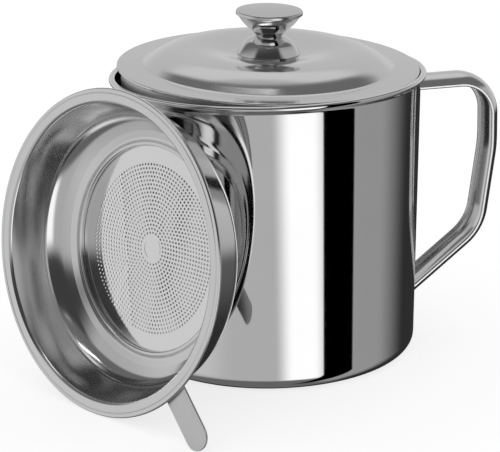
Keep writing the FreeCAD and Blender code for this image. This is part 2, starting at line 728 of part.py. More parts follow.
def export(pieces):
    os.makedirs("parts", exist_ok=True)
    for piece in pieces:
        piece.Shape.exportStep(os.path.join("parts", piece.Label + ".step"))
        box = piece.Shape.BoundBox
        lowest, highest = [round(z, 2) for z in (box.ZMin, box.ZMax)]
        volume = round(piece.Shape.Volume, 1)
        print(piece.Label, "volume", volume, "mm3, z from", lowest, "to", highest)


PIECES = build()
check(PIECES)
export(PIECES)
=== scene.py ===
# %% [markdown]
# # A grease keeper in polished steel
#
# The object is a kitchen pot for saved cooking fat. It has a strap handle, a loose lid with an
# hourglass knob, and a strainer that leans on the pot's side. Nearly every piece is thin steel
# sheet that was pressed or spun, so most pieces here are made like that too: one half of the
# outline is drawn and then turned about an axis.
#
# The engineering model comes first. It is loaded as a fixed frame and never changed. Each new
# piece is built in the same place and then stands for the frame's piece.

# %% The fixed frame
import json
import math

import bpy
from mathutils import Matrix, Vector

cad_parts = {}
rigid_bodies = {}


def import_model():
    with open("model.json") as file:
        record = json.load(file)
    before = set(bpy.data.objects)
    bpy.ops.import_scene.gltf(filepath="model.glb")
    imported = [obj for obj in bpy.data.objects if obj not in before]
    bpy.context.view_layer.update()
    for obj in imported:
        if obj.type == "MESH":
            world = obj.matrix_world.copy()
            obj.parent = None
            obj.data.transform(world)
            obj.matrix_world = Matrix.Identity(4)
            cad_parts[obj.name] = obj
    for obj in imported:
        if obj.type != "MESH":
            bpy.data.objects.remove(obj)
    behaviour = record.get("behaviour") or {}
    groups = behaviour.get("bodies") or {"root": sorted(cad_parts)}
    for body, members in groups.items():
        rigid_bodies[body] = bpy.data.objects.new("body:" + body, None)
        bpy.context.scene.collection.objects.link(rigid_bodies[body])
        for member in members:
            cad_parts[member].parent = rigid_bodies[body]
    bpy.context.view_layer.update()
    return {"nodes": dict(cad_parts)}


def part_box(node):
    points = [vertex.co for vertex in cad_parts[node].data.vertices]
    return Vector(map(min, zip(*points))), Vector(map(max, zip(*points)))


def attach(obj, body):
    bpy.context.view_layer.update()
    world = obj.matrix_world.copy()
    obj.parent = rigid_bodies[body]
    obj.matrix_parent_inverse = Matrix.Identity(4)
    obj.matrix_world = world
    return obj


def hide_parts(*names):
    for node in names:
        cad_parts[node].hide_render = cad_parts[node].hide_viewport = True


for leftover in list(bpy.data.objects):
    bpy.data.objects.remove(leftover)
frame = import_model()

# %% [markdown]
# ## Drawing an outline and turning it
#
# A spun pot starts as a flat disc that is pressed over a turning form. In Blender the same shape
# comes from half of its outline and the Spin operator. The outline starts as a plane whose four
# corners are merged into one point. That point is extruded from corner to corner, and each corner
# is then rounded with a vertex bevel. A screw modifier would do the turning too, but Spin leaves a
# plain mesh that can be edited further, which the strap handle needs.
#
# All sizes of the object are written in millimetres, and `MM` turns them into metres.

# %% Selecting by place
MM = 0.001
NEAR = 0.004 * MM


def only(piece):
    """Select one piece and nothing else."""
    bpy.ops.object.select_all(action="DESELECT")
    piece.select_set(True)
    bpy.context.view_layer.objects.active = piece


def pick_points(piece, wanted):
    """In edit mode, select the points whose place passes the test."""
    bpy.ops.mesh.select_mode(type="VERT")
    bpy.ops.mesh.select_all(action="DESELECT")
    bpy.ops.object.mode_set(mode="OBJECT")
    for point in piece.data.vertices:
        point.select = wanted(point.co)
    bpy.ops.object.mode_set(mode="EDIT")


# %% Drawing an outline
ROUND_STEP = math.radians(7)
FEWEST_STEPS = 3


def round_corner(piece, before, corner, after, radius):
    """Round one corner of an outline, where before and after are the corners next to it."""
    angle = (before - corner).angle(after - corner)
    reach = radius / math.tan(angle / 2)
    steps = max(FEWEST_STEPS, math.ceil((math.pi - angle) / ROUND_STEP))
    pick_points(piece, lambda co: (co - corner).length < NEAR)
    bpy.ops.mesh.bevel(offset=reach, segments=steps, affect="VERTICES")


def draw_outline(name, corners, place, closed=True):
    """Draw corners of (across, up, rounding) in millimetres, where place gives their 3-D point."""
    spots = [place(across * MM, up * MM) for across, up, _ in corners]
    bpy.ops.object.select_all(action="DESELECT")
    bpy.ops.mesh.primitive_plane_add(size=MM, location=spots[0])
    piece = bpy.context.object
    piece.name = piece.data.name = name
    bpy.ops.object.transform_apply()
    bpy.ops.object.mode_set(mode="EDIT")
    bpy.ops.mesh.select_mode(type="VERT")
    bpy.ops.mesh.select_all(action="SELECT")
    bpy.ops.mesh.merge(type="CENTER")
    for start, end in zip(spots, spots[1:]):
        bpy.ops.mesh.extrude_region_move(TRANSFORM_OT_translate={"value": end - start})
    if closed:
        pick_points(piece, lambda co: min((co - spots[0]).length, (co - spots[-1]).length) < NEAR)
        bpy.ops.mesh.edge_face_add()
    for index, (_, _, rounding) in enumerate(corners):
        if rounding:
            after = spots[(index + 1) % len(spots)]
            round_corner(piece, spots[index - 1], spots[index], after, rounding * MM)
    bpy.ops.object.mode_set(mode="OBJECT")
    return piece


# %% Turning it
TURN_STEPS = 144
CREASE = math.radians(35)


def upright(across, up):
    """The plane in which a turned piece's outline is drawn."""
    return Vector((across, 0, up))


def finish_mesh(piece):
    """Merge what meets, point the faces outwards and shade all but the creases smooth."""
    only(piece)
    bpy.ops.object.mode_set(mode="EDIT")
    bpy.ops.mesh.select_all(action="SELECT")
    bpy.ops.mesh.remove_doubles(threshold=NEAR)
    bpy.ops.mesh.normals_make_consistent(inside=False)
    bpy.ops.object.mode_set(mode="OBJECT")
    bpy.ops.object.shade_smooth_by_angle(angle=CREASE)
    print(piece.name, "faces:", len(piece.data.polygons))


def set_down(piece, placement):
    """Move a piece from the bench, where its axis is upright, to its place on the object."""
    only(piece)
    piece.matrix_world = placement
    bpy.ops.object.transform_apply()


def turned(name, corners, placement=Matrix.Identity(4), closed=True):
    """A piece turned about the upright axis from its outline, and set down in its place."""
    piece = draw_outline(name, corners, upright, closed)
    bpy.ops.object.mode_set(mode="EDIT")
    bpy.ops.mesh.select_all(action="SELECT")
    bpy.ops.mesh.spin(steps=TURN_STEPS, angle=math.tau, center=(0, 0, 0), axis=(0, 0, 1))
    bpy.ops.object.mode_set(mode="OBJECT")
    finish_mesh(piece)
    set_down(piece, placement)
    return piece


# %% [markdown]
# ## The pot
#
# The pot is drawn from one sheet. Its wall opens very slightly towards the top, the base turns up
# in a small radius and is raised a little inside its foot ring, and the mouth flares out into a
# curled rim, which makes the cut edge safe. The outline follows the sheet all the way round: up the
# outside, over the curl and down the inside. It starts and ends on the axis, so it is left open
# there and the turn closes it.

# %% Pot
POT_HEIGHT = 123.5
WALL_TOP = 65.6
WALL_BASE = 62.4
WALL_SHEET = 0.8
BASE_ROUND = 6.6
BASE_RISE = 0.5
FOOT_RING = 52.5
FOOT_RING_SLOPE = 2.5
FLARE_START = 119.9
FLARE_ROUND = 1.2
RIM = 68.0
CURL = 2.4
CURL_ROUND = 1.15
CURL_TUCK = 0.2

curl_inner = RIM - CURL
curl_foot = POT_HEIGHT - CURL
pot_shell = turned("pot_shell", [
    (0, BASE_RISE, 0),
    (FOOT_RING - FOOT_RING_SLOPE, BASE_RISE, 2),
    (FOOT_RING, 0, 2),
    (WALL_BASE, 0, BASE_ROUND),
    (WALL_TOP, FLARE_START, FLARE_ROUND),
    (curl_inner + WALL_SHEET, curl_foot, 0.3),
    (curl_inner + WALL_SHEET + CURL_TUCK, curl_foot, 0.2),
    (RIM, curl_foot, CURL_ROUND),
    (RIM, POT_HEIGHT, CURL_ROUND),
    (curl_inner, POT_HEIGHT, 0.9),
    (WALL_TOP - WALL_SHEET, FLARE_START, FLARE_ROUND),
    (WALL_BASE - WALL_SHEET, WALL_SHEET, BASE_ROUND - WALL_SHEET),
    (0, WALL_SHEET, 0),
], closed=False)

# %% [markdown]
# ## The strap handle
#
# The handle is a strap with a bulging back and both long edges rolled in, bent to a grip and
# welded to the wall at both ends. A tube or a curve with a bevel would need a section object of
# its own. Here the section is drawn once at the wall and then pushed along: extrude makes a
# straight run, and Spin makes a bend about that bend's centre. That is close to how a strap is
# bent on a former.
#
# The bulge is one arc, drawn as a corner with a very large rounding. Roundings that share a side
# must not meet, so each is a little smaller than the side would allow.

# %% Section of the strap
STRAP_HALF = 9.0
STRAP_SHEET = 0.9
STRAP_CROWN = 3.6
STRAP_LIP = 1.2
STRAP_ROLL = 1.4
STRAP_TOP = 111.5
STRAP_START = 64.65
LIP_ROUND = 0.3
CROWN_SHARE = 0.88
ROLL_SHARE = 0.47

crown_radius = (STRAP_HALF ** 2 + STRAP_CROWN ** 2) / (2 * STRAP_CROWN)
crown_drop = crown_radius - STRAP_CROWN
apex_rise = STRAP_HALF ** 2 / crown_drop
sheet_rise = STRAP_SHEET * crown_radius / crown_drop
lip_base = STRAP_TOP + STRAP_LIP
roll_inner = STRAP_HALF - STRAP_ROLL
roll_round = STRAP_ROLL * ROLL_SHARE

strap = draw_outline("strap_handle", [
    (STRAP_HALF, STRAP_TOP, roll_round),
    (STRAP_HALF, lip_base, LIP_ROUND),
    (0, lip_base + apex_rise, crown_radius * CROWN_SHARE),
    (-STRAP_HALF, lip_base, LIP_ROUND),
    (-STRAP_HALF, STRAP_TOP, roll_round),
    (-roll_inner, STRAP_TOP, roll_round),
    (-roll_inner, lip_base, LIP_ROUND),
    (0, lip_base + apex_rise - sheet_rise, (crown_radius - STRAP_SHEET) * CROWN_SHARE),
    (roll_inner, lip_base, LIP_ROUND),
    (roll_inner, STRAP_TOP, roll_round),
], lambda across, up: Vector((STRAP_START * MM, across, up)))

# %% Runs and bends of the strap
STRAP_REACH = 99.6
TOP_BEND = 14.0
GRIP_BEND = 60.0
FOOT_BEND = 20.0
GRIP_STRAIGHT = 9.8
FOOT_HEIGHT = 46.3
BRACE_LENGTH = 36.0
OUTWARDS = 0.0
DOWN = -math.pi / 2
QUARTER_TURN = math.pi / 2
LEAN = math.radians(8.4)
BRACE = math.radians(37.5)


def run_on(direction, length):
    """Push the selected end of the strap straight on, in the plane of the handle."""
    step = Vector((math.cos(direction), 0, math.sin(direction))) * length * MM
    bpy.ops.mesh.extrude_region_move(TRANSFORM_OT_translate={"value": step})
    return step


def bend(end, direction, radius, angle, steps):
    """Bend the selected end of the strap downwards or further round, and return its new end."""
    inward = Vector((math.sin(direction), 0, -math.cos(direction))) * radius * MM
    centre = end + inward
    bpy.ops.mesh.spin(steps=steps, angle=angle, center=centre, axis=(0, -1, 0))
    return centre + Matrix.Rotation(angle, 3, "Y") @ (end - centre)


lean_bend_reach = GRIP_BEND * math.tan(LEAN / 2)
lean_start = STRAP_TOP - TOP_BEND - GRIP_STRAIGHT - lean_bend_reach
foot_turn = QUARTER_TURN - LEAN - BRACE
foot_bend_reach = FOOT_BEND * math.tan(foot_turn / 2)
lean_length = (lean_start - FOOT_HEIGHT) / math.cos(LEAN) - lean_bend_reach - foot_bend_reach

only(strap)
bpy.ops.object.mode_set(mode="EDIT")
bpy.ops.mesh.select_mode(type="EDGE")
bpy.ops.mesh.select_all(action="SELECT")
end = Vector((STRAP_START, 0, STRAP_TOP)) * MM
end += run_on(OUTWARDS, STRAP_REACH - TOP_BEND - STRAP_START)
end = bend(end, OUTWARDS, TOP_BEND, QUARTER_TURN, steps=26)
end += run_on(DOWN, GRIP_STRAIGHT)
end = bend(end, DOWN, GRIP_BEND, LEAN, steps=8)
end += run_on(DOWN - LEAN, lean_length)
end = bend(end, DOWN - LEAN, FOOT_BEND, foot_turn, steps=12)
end += run_on(math.pi + BRACE, BRACE_LENGTH)
bpy.ops.object.mode_set(mode="OBJECT")
print("strap ends at", [round(v / MM, 1) for v in end])

# %% [markdown]
# The lower run is made too long on purpose. Both ends are then cut along the wall, as a fitter
# would trim the strap before welding it on. Bisect cuts, throws the waste away and fills the cut.

# %% Trimming the strap to the wall
WELD_DEPTH = 0.75

wall_slope = math.atan((WALL_TOP - WALL_BASE) / FLARE_START)
wall_out = Vector((math.cos(wall_slope), 0, -math.sin(wall_slope)))
cut_at = Vector((WALL_BASE - WELD_DEPTH, 0, 0)) * MM
only(strap)
bpy.ops.object.mode_set(mode="EDIT")
bpy.ops.mesh.select_all(action="SELECT")
bpy.ops.mesh.bisect(plane_co=cut_at, plane_no=wall_out, use_fill=True, clear_inner=True)
bpy.ops.object.mode_set(mode="OBJECT")
finish_mesh(strap)

# %% [markdown]
# ## The lid
#
# The lid is pressed with a flat border, a shoulder and a low dome whose middle is slightly sunk,
# and its edge is hemmed. It has slipped: its low edge has dropped a little into the pot's mouth, so
# everything on it shares one tilted placement. The pieces are turned upright first, and each is
# then set down with that placement.
#
# The underside of the sheet follows its top one thickness lower, with slightly tighter roundings
# and slopes that stand a little nearer the axis.

# %% Where the lid lies
LID_TILT = math.radians(3.1)
LID_LOW_SIDE = math.radians(304)
LID_SHIFT = 0.5
LID_SINK = 1.8
LID_EDGE = 64.8
HEM = 1.4

lid_height = POT_HEIGHT - LID_SINK + HEM / 2 + (LID_EDGE - HEM / 2) * math.sin(LID_TILT)
low_side = Vector((math.cos(LID_LOW_SIDE), math.sin(LID_LOW_SIDE), 0))
tilt_axis = Vector((-math.sin(LID_LOW_SIDE), math.cos(LID_LOW_SIDE), 0))
LID_PLACE = (
    Matrix.Translation((low_side * LID_SHIFT + Vector((0, 0, lid_height))) * MM)
    @ Matrix.Rotation(LID_TILT, 4, tilt_axis)
)

# %% Lid
LID_SHEET = 0.8
BORDER = 11.2
SHOULDER_RUN = 7.2
SHOULDER_RISE = 5.7
SHOULDER_ROUND = 22.0
CREST_AT = 32.0
CREST_RISE = 8.2
CREST_ROUND = 46.0
PAD_EDGE = 16.0
PAD_RISE = 5.0
PAD_ROUND = 16.0
SCREW_HOLE = 2.2
TIGHTER = 1.0
INWARD = 0.4

border_top = HEM / 2
border_under = border_top - LID_SHEET
border_inner = LID_EDGE - BORDER
shoulder = border_inner - SHOULDER_RUN
shoulder_top = border_top + SHOULDER_RISE
crest_top = border_top + CREST_RISE
pad = border_top + PAD_RISE

lid_shell = turned("lid_shell", [
    (SCREW_HOLE, pad - LID_SHEET, 0),
    (PAD_EDGE, pad - LID_SHEET, PAD_ROUND),
    (CREST_AT, crest_top - LID_SHEET, CREST_ROUND - TIGHTER),
    (shoulder - INWARD, shoulder_top - LID_SHEET, SHOULDER_ROUND - TIGHTER),
    (border_inner - INWARD, border_under, 3.0),
    (LID_EDGE - HEM, border_under, 0.15),
    (LID_EDGE - HEM, -HEM / 2, 0.4),
    (LID_EDGE, -HEM / 2, 0.6),
    (LID_EDGE, border_top, 0.6),
    (border_inner, border_top, 2.6),
    (shoulder, shoulder_top, SHOULDER_ROUND),
    (CREST_AT, crest_top, CREST_ROUND),
    (PAD_EDGE, pad, PAD_ROUND),
    (SCREW_HOLE, pad, 0),
], LID_PLACE)

# %% Locating ring under the lid
RING_GAP = 1.8
RING_SEAT = 5.0
RING_DEPTH = 8.0

ring_outer = WALL_TOP - WALL_SHEET - RING_GAP
ring_foot = border_under - RING_DEPTH
seat_under = border_under - LID_SHEET
lid_collar = turned("lid_collar", [
    (ring_outer - RING_SEAT, border_under, 0),
    (ring_outer - RING_SEAT, seat_under, 0.2),
    (ring_outer - LID_SHEET, seat_under, 0.4),
    (ring_outer - LID_SHEET, ring_foot, 0.2),
    (ring_outer, ring_foot, 0.2),
    (ring_outer, border_under, 1.2),
], LID_PLACE)

# %% [markdown]
# ## The knob
#
# The knob is an hourglass of three pressed shells: a bell that stands on the lid, a cup above it
# and a gently bulging cap pressed over the cup's lip. A threaded insert inside takes a screw from
# under the lid. Each shell is a thin closed outline, so the gaps between them are real.
#
# The bell's cheek and the cup's belly are the points where each shell is fullest. They are given
# as shares of the shell's width beyond the neck and of its height.

# %% Bell of the knob
KNOB_SHEET = 0.7
INSERT_HOLE = 3.65
BELL_FOOT = 13.6
FOOT_LIP = 0.35
FOOT_SHARE = 1.25
NECK = 5.7
NECK_RISE = 7.8
CHEEK_REACH = 0.56
CHEEK_RISE = 0.7
CHEEK_ROUND = 5.5

neck_top = pad + NECK_RISE
cheek = NECK + (BELL_FOOT - NECK) * CHEEK_REACH
cheek_height = pad + NECK_RISE * CHEEK_RISE
bell = turned("knob_foot", [
    (BELL_FOOT, pad, 0.2),
    (BELL_FOOT, pad + FOOT_LIP, 0.15),
    (cheek, cheek_height, CHEEK_ROUND),
    (NECK, neck_top, 0),
    (INSERT_HOLE, neck_top, 0),
    (INSERT_HOLE, neck_top - KNOB_SHEET, 0),
    (NECK, neck_top - KNOB_SHEET, 0),
    (cheek - KNOB_SHEET / 2, cheek_height - KNOB_SHEET, CHEEK_ROUND - KNOB_SHEET),
    (BELL_FOOT - KNOB_SHEET * FOOT_SHARE, pad, 0.2),
], LID_PLACE)

# %% Cup and cap of the knob
CAP = 14.3
CAP_RISE = 18.6
CAP_SKIRT = 1.7
CAP_BULGE = 0.6
CAP_ROUND = 44.0
PRESS_GAP = 0.05
BELLY_REACH = 0.8
BELLY_RISE = 0.7

cap_edge = pad + CAP_RISE
skirt_foot = cap_edge - CAP_SKIRT
under_cap = cap_edge - KNOB_SHEET - PRESS_GAP
lip = CAP - KNOB_SHEET - PRESS_GAP
belly = NECK + (lip - NECK) * BELLY_REACH
belly_height = neck_top + (skirt_foot - neck_top) * BELLY_RISE
cup = turned("knob_cup_shell", [
    (INSERT_HOLE, neck_top, 0),
    (NECK, neck_top, 0),
    (belly, belly_height, CAP),
    (lip, skirt_foot, 0.3),
    (lip, under_cap, 0),
    (lip - KNOB_SHEET, under_cap, 0),
    (lip - KNOB_SHEET, skirt_foot + KNOB_SHEET / 2, 0.3),
    (belly - KNOB_SHEET, belly_height + KNOB_SHEET / 2, CAP - KNOB_SHEET),
    (NECK - KNOB_SHEET, neck_top + KNOB_SHEET, 0),
    (INSERT_HOLE, neck_top + KNOB_SHEET, 0),
], LID_PLACE)

cap = turned("knob_top", [
    (0, cap_edge + CAP_BULGE, 0),
    (CAP / 2, cap_edge + CAP_BULGE * 3 / 4, CAP_ROUND),
    (CAP, cap_edge, 0.8),
    (CAP, skirt_foot, 0.25),
    (CAP - KNOB_SHEET, skirt_foot, 0.2),
    (CAP - KNOB_SHEET, cap_edge - KNOB_SHEET, 0),
    (0, cap_edge - KNOB_SHEET, 0),
], LID_PLACE, closed=False)

# %% [markdown]
# ## The strainer
#
# The strainer is a deep dish with a flat border, a fine groove near its curled edge and an open
# floor. A raised bead runs round the opening, and a perforated disc lies on a ledge inside it. The
# strainer stands on its edge and on a flat tab, and leans back against the pot. Its lean and the
# way it faces are known, and the frame's disc lies on its axis, so the middle of that disc's box
# fixes the rest of its placement.
#
# Depths are measured from the flat border, down into the dish.

# %% Where the strainer stands
STRAINER_FACES = math.radians(210)
STRAINER_LEAN = math.radians(9)
OPENING_DEPTH = 24.9
DISC_DROP = 1.2
DISC_SHEET = 0.5

disc_face = OPENING_DEPTH + DISC_DROP
ledge = disc_face + DISC_SHEET
facing_out = (
    Matrix.Rotation(STRAINER_FACES, 4, "Z")
    @ Matrix.Rotation(math.pi / 2 - STRAINER_LEAN, 4, "Y")
)
disc_low, disc_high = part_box("filter_disc")
disc_to_mouth = facing_out.to_3x3() @ Vector((0, 0, (disc_face + ledge) / 2)) * MM
strainer_middle = (disc_low + disc_high) / 2 + disc_to_mouth
STRAINER_PLACE = Matrix.Translation(strainer_middle) @ facing_out

# %% Dish of the strainer
DISH_RIM = 66.6
DISH_CURL = 1.5
DISH_SHEET = 0.8
DISH_MOUTH = 61.0
MOUTH_CUT_IN = 0.5
MOUTH_CUT_OUT = 0.6
SHOULDER_INSET = 4.5
SHOULDER_EASE = 0.3
SHOULDER_DEPTH = 19.9
DISH_ROUND = 9.5
OPENING = 42.6
LEDGE_WIDTH = 2.0
BEAD_RISE = 0.9
BEAD_WIDTH = 1.5
BEAD_FOOT = 2.3
FLOOR_START = 4.6
FLOOR_RISE = 0.3
GROOVE_INSET = 1.9
GROOVE_HALF = 0.3
GROOVE_DEPTH = 0.25

dish_shoulder = DISH_MOUTH - SHOULDER_INSET
dish = turned("strainer_dish", [
    (OPENING - LEDGE_WIDTH, -ledge, 0),
    (OPENING, -ledge, 0),
    (OPENING, BEAD_RISE - OPENING_DEPTH, 0.6),
    (OPENING + BEAD_WIDTH, BEAD_RISE - OPENING_DEPTH, 0.7),
    (OPENING + BEAD_FOOT, -OPENING_DEPTH, 1.2),
    (OPENING + FLOOR_START, FLOOR_RISE - OPENING_DEPTH, 2.5),
    (dish_shoulder - SHOULDER_EASE, -SHOULDER_DEPTH, DISH_ROUND),
    (DISH_MOUTH - MOUTH_CUT_IN, -DISH_SHEET, 1.2),
    (DISH_MOUTH + MOUTH_CUT_OUT, 0, 0.8),
    (DISH_RIM - GROOVE_INSET - GROOVE_HALF, 0, 0.3),
    (DISH_RIM - GROOVE_INSET, -GROOVE_DEPTH, 0.3),
    (DISH_RIM - GROOVE_INSET + GROOVE_HALF, 0, 0.3),
    (DISH_RIM, 0, 0.7),
    (DISH_RIM, -DISH_CURL, 0.7),
    (DISH_RIM - DISH_CURL, -DISH_CURL, 0.35),
    (DISH_RIM - DISH_CURL, -DISH_SHEET, 0),
    (DISH_MOUTH + DISH_SHEET, -DISH_SHEET, 1.0),
    (dish_shoulder + DISH_SHEET, -SHOULDER_DEPTH - DISH_SHEET, DISH_ROUND - TIGHTER),
    (OPENING + DISH_SHEET, -OPENING_DEPTH - DISH_SHEET, 0.3),
    (OPENING + DISH_SHEET, -ledge - DISH_SHEET, 0.25),
    (OPENING - LEDGE_WIDTH, -ledge - DISH_SHEET, 0.2),
], STRAINER_PLACE)

# %% [markdown]
# ## The perforated disc
#
# The disc is thin sheet with rings of fine holes round a plain middle, which a shallow groove sets
# off. Each ring has six holes more than the ring inside it, so the holes stay evenly spaced. One
# punch is modelled, a short eight-sided pin. It is copied to every hole, the copies are joined, and
# one Boolean modifier cuts them all out of the disc. Thousands of separate cuts would take far
# longer.

# %% Disc
DISC_GAP = 0.2
MIDDLE_GROOVE = 4.7
MIDDLE_GROOVE_HALF = 0.5
MIDDLE_GROOVE_DEPTH = 0.12

disc_edge = OPENING - DISC_GAP
disc = turned("strainer_disc", [
    (0, -disc_face, 0),
    (MIDDLE_GROOVE - MIDDLE_GROOVE_HALF, -disc_face, 0.8),
    (MIDDLE_GROOVE, -disc_face - MIDDLE_GROOVE_DEPTH, 0.8),
    (MIDDLE_GROOVE + MIDDLE_GROOVE_HALF, -disc_face, 0.8),
    (disc_edge, -disc_face, 0.1),
    (disc_edge, -ledge, 0.1),
    (0, -ledge, 0),
], closed=False)

# %% Punches for the holes
HOLE = 0.49
HOLE_PITCH = 1.66
FIRST_RING = 4
LAST_RING = 21
HOLES_PER_STEP = 6
PIN_SIDES = 8
PIN_LENGTH = 2.0

bpy.ops.object.select_all(action="DESELECT")
bpy.ops.mesh.primitive_cylinder_add(
    vertices=PIN_SIDES, radius=HOLE * MM, depth=PIN_LENGTH * MM, location=(0, 0, -disc_face * MM)
)
pin = bpy.context.object
bpy.ops.object.transform_apply()
punches = []
for ring in range(FIRST_RING, LAST_RING + 1):
    holes = HOLES_PER_STEP * ring
    offset = 0.5 * (ring % 2)
    for step in range(holes):
        angle = math.tau * (step + offset) / holes
        punch = pin.copy()
        punch.data = pin.data.copy()
        punch.location = Vector((math.cos(angle), math.sin(angle), 0)) * ring * HOLE_PITCH * MM
        bpy.context.collection.objects.link(punch)
        punches.append(punch)
bpy.data.objects.remove(pin)
print("holes:", len(punches))

# %% Cutting the holes
DISC_CREASE = math.radians(30)

bpy.ops.object.select_all(action="DESELECT")
for punch in punches:
    punch.select_set(True)
bpy.context.view_layer.objects.active = punches[0]
bpy.ops.object.join()
punch_block = bpy.context.object
bpy.ops.object.transform_apply()
only(disc)
cut = disc.modifiers.new("holes", "BOOLEAN")
cut.object = punch_block
cut.operation = "DIFFERENCE"
cut.solver = "MANIFOLD"
bpy.ops.object.modifier_apply(modifier=cut.name)
bpy.data.objects.remove(punch_block)
bpy.ops.object.shade_smooth_by_angle(angle=DISC_CREASE)
set_down(disc, STRAINER_PLACE)
disc.data.calc_loop_triangles()
print("disc triangles:", len(disc.data.loop_triangles))

# %% [markdown]
# ## The strainer's tab
#
# A flat tab with a rounded end is welded under the strainer's curled edge and also props it up.
# It starts as a plane that is stretched to the tab's size. The two outer corners are rounded with
# a vertex bevel, the sheet is given its thickness, and a fine bevel breaks the cut edge.

# %% Tab
TAB_HALF = 6.0
TAB_SHEET = 0.9
TAB_ROOT = 62.0
TAB_REACH = 24.0
TAB_ROUND = 5.76
TAB_ROUND_STEPS = 12
BROKEN_EDGE = 0.18

tab_end = DISH_RIM + TAB_REACH
bpy.ops.object.select_all(action="DESELECT")
bpy.ops.mesh.primitive_plane_add(size=MM, location=(0, 0, 0))
tab = bpy.context.object
tab.name = tab.data.name = "strainer_prop_tab"
bpy.ops.object.mode_set(mode="EDIT")
bpy.ops.transform.resize(value=(tab_end - TAB_ROOT, 2 * TAB_HALF, 1))
bpy.ops.transform.translate(value=Vector(((tab_end + TAB_ROOT) / 2, 0, -DISH_CURL)) * MM)
pick_points(tab, lambda co: co.x > tab_end * MM - NEAR)
bpy.ops.mesh.bevel(offset=TAB_ROUND * MM, segments=TAB_ROUND_STEPS, affect="VERTICES")
bpy.ops.mesh.select_all(action="SELECT")
bpy.ops.mesh.extrude_region_move(TRANSFORM_OT_translate={"value": (0, 0, -TAB_SHEET * MM)})
bpy.ops.object.mode_set(mode="OBJECT")
soften = tab.modifiers.new("edge", "BEVEL")
soften.width = BROKEN_EDGE * MM
soften.segments = 2
bpy.ops.object.modifier_apply(modifier=soften.name)
finish_mesh(tab)

# %% [markdown]
# The tab points down and to one side, and the turn about the strainer's axis is the one that brings
# its rounded corner just onto the floor.

# %% Turning the tab down to the floor
lower_face = DISH_CURL + TAB_SHEET
middle_height = strainer_middle.z / MM
floor_depth = (middle_height - lower_face * math.sin(STRAINER_LEAN)) / math.cos(STRAINER_LEAN)
corner_side = TAB_HALF - TAB_ROUND
corner_along = tab_end - TAB_ROUND
tab_turn = math.acos((floor_depth - TAB_ROUND) / math.hypot(corner_along, corner_side))
tab_turn += math.atan2(corner_side, corner_along)
set_down(tab, STRAINER_PLACE @ Matrix.Rotation(tab_turn, 4, "Z"))

# %% [markdown]
# ## Steel finishes
#
# All the steel is the same metal. What differs is how it was finished: mirror polished on a wheel,
# brushed on a turning belt, or left satin. Every finish here is one Principled shader at full
# metal. The brush marks are noise that is stretched along the direction of work: round the axis
# for turned pieces, along the strap for the handle. The marks change the roughness a little and
# tilt the surface a little. On the strainer's dish they are strong enough to draw out its
# highlights as well, which is what the shader calls anisotropic.

# %% Short ways to add nodes
def link(tree, source, target):
    """Join two sockets."""
    tree.links.new(source, target)


def add(tree, kind, **settings):
    """Add a node of that kind with its settings."""
    node = tree.nodes.new(kind)
    for name, value in settings.items():
        setattr(node, name, value)
    return node


def maths(tree, operation, first, second=None):
    """One sum, product or the like, of sockets or constants."""
    node = add(tree, "ShaderNodeMath", operation=operation)
    for socket, value in zip(node.inputs, (first, second)):
        if isinstance(value, (int, float)):
            socket.default_value = value
        elif value is not None:
            link(tree, value, socket)
    return node.outputs[0]


def vectors(tree, operation, first, second=(0, 0, 0)):
    """One vector sum, product or the like, of a socket and a constant."""
    node = add(tree, "ShaderNodeVectorMath", operation=operation)
    link(tree, first, node.inputs[0])
    node.inputs[1].default_value = second
    return node.outputs["Value" if operation == "DOT_PRODUCT" else "Vector"]


def noise(tree, scale, detail, vector):
    """Soft noise of that scale."""
    node = add(tree, "ShaderNodeTexNoise")
    node.inputs["Scale"].default_value = scale
    node.inputs["Detail"].default_value = detail
    link(tree, vector, node.inputs["Vector"])
    return node.outputs["Fac"]


def object_place(tree):
    """Object coordinates."""
    return add(tree, "ShaderNodeTexCoord").outputs["Object"]


# %% Coordinates for a turned piece
METRES_PER_RADIAN = 0.01


def flat_on(tree, placement):
    """Object coordinates as they were on the bench, with the piece's axis upright at the middle."""
    back = placement.inverted()
    place = add(tree, "ShaderNodeMapping")
    place.inputs["Location"].default_value = back.translation
    place.inputs["Rotation"].default_value = back.to_euler("XYZ")
    link(tree, object_place(tree), place.inputs["Vector"])
    return place.outputs["Vector"]


def round_the_axis(tree, placement):
    """The distance from the piece's axis, the way round it and the height along it."""
    parts = add(tree, "ShaderNodeSeparateXYZ")
    link(tree, flat_on(tree, placement), parts.inputs[0])
    across, aside, up = parts.outputs
    across_squared = maths(tree, "MULTIPLY", across, across)
    aside_squared = maths(tree, "MULTIPLY", aside, aside)
    distance = maths(tree, "SQRT", maths(tree, "ADD", across_squared, aside_squared))
    way = maths(tree, "MULTIPLY", maths(tree, "ARCTAN2", aside, across), METRES_PER_RADIAN)
    joined = add(tree, "ShaderNodeCombineXYZ")
    for source, target in zip((distance, way, up), joined.inputs):
        link(tree, source, target)
    return joined.outputs[0]


def turning_direction(tree, placement):
    """The direction of the turning marks at each point, square to the axis and to the radius."""
    axis = placement.to_3x3() @ Vector((0, 0, 1))
    from_middle = vectors(tree, "SUBTRACT", object_place(tree), placement.translation)
    return vectors(tree, "NORMALIZE", vectors(tree, "CROSS_PRODUCT", from_middle, -axis))


# %% One recipe for every finish
CLOUDS = 45
CLOUDS_DETAIL = 2
MARKS_DETAIL = 4
MARKS_STRENGTH = 0.35
DARK_SHARE = 0.97
LIGHT_SHARE = 1.02
LIGHT_BLUE_SHARE = 1.025


